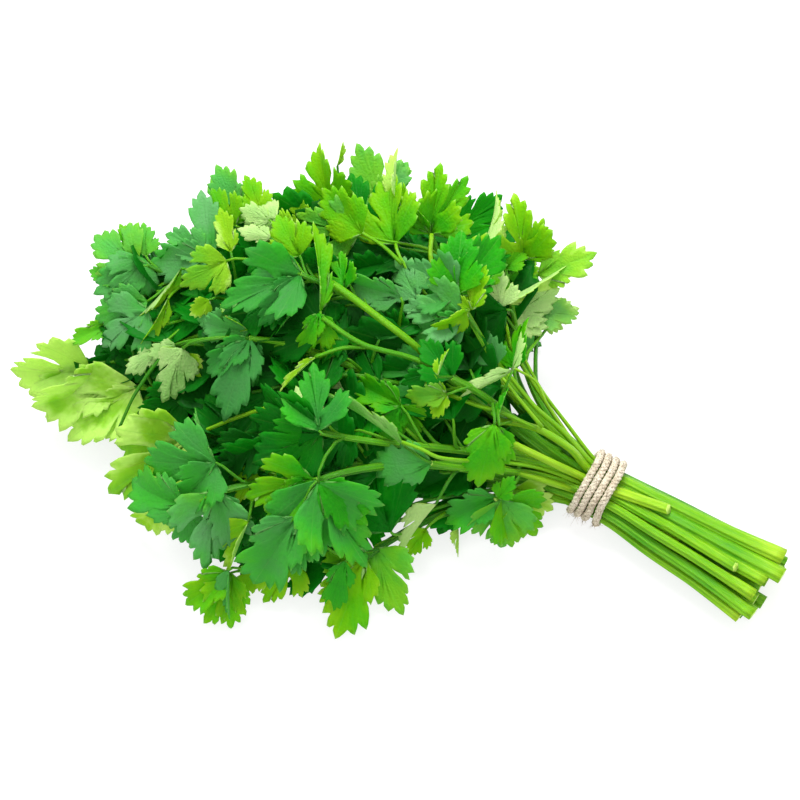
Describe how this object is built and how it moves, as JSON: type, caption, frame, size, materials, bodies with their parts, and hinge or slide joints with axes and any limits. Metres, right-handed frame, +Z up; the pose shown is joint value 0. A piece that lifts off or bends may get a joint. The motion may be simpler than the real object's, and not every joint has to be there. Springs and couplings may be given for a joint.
{
  "type": "parsley bunch",
  "caption": "Bunch of flat-leaf parsley lying on its side, its long stems bound near the cut ends with turns of natural twine",
  "frame": {"origin": "on the surface the bunch lies on, under the middle of its bounding box", "axes": "X runs along the bunch, +X towards the cut ends and -X towards the leaves; Y across the bunch; Z up"},
  "size_m": [0.2826, 0.195, 0.0749],
  "materials": {
    "leaf": "satin",
    "stem": "satin",
    "twine": "matte"
  },
  "bodies": {
    "root": {"crown_leaf_01": "leaf", "crown_leaf_02": "leaf", "crown_leaf_03": "leaf", "crown_leaf_04": "leaf", "crown_leaf_05": "leaf", "crown_leaf_06": "leaf", "crown_leaf_07": "leaf", "crown_leaf_08": "leaf", "crown_leaf_09": "leaf", "crown_leaf_10": "leaf", "crown_leaf_11": "leaf", "crown_leaf_12": "leaf", "crown_leaf_13": "leaf", "crown_leaf_14": "leaf", "crown_leaf_15": "leaf", "crown_leaf_16": "leaf", "crown_leaf_17": "leaf", "crown_leaf_18": "leaf", "crown_leaf_19": "leaf", "crown_leaf_20": "leaf", "crown_leaf_21": "leaf", "crown_leaf_22": "leaf", "crown_leaf_23": "leaf", "crown_leaf_24": "leaf", "side_leaf_01": "leaf", "side_leaf_02": "leaf", "side_leaf_03": "leaf", "side_leaf_04": "leaf", "side_leaf_05": "leaf", "side_leaf_06": "leaf", "side_leaf_07": "leaf", "side_leaf_08": "leaf", "side_leaf_09": "leaf", "side_leaf_10": "leaf", "side_leaf_11": "leaf", "stem_01": "stem", "stem_02": "stem", "stem_03": "stem", "stem_04": "stem", "stem_05": "stem", "stem_06": "stem", "stem_07": "stem", "stem_08": "stem", "stem_09": "stem", "stem_10": "stem", "stem_11": "stem", "stem_12": "stem", "stem_13": "stem", "stem_14": "stem", "stem_15": "stem", "stem_16": "stem", "stem_17": "stem", "stem_18": "stem", "stem_19": "stem", "stem_20": "stem", "stem_21": "stem", "stem_22": "stem", "stem_23": "stem", "stem_24": "stem", "twine": "twine"}
  },
  "joints": []
}
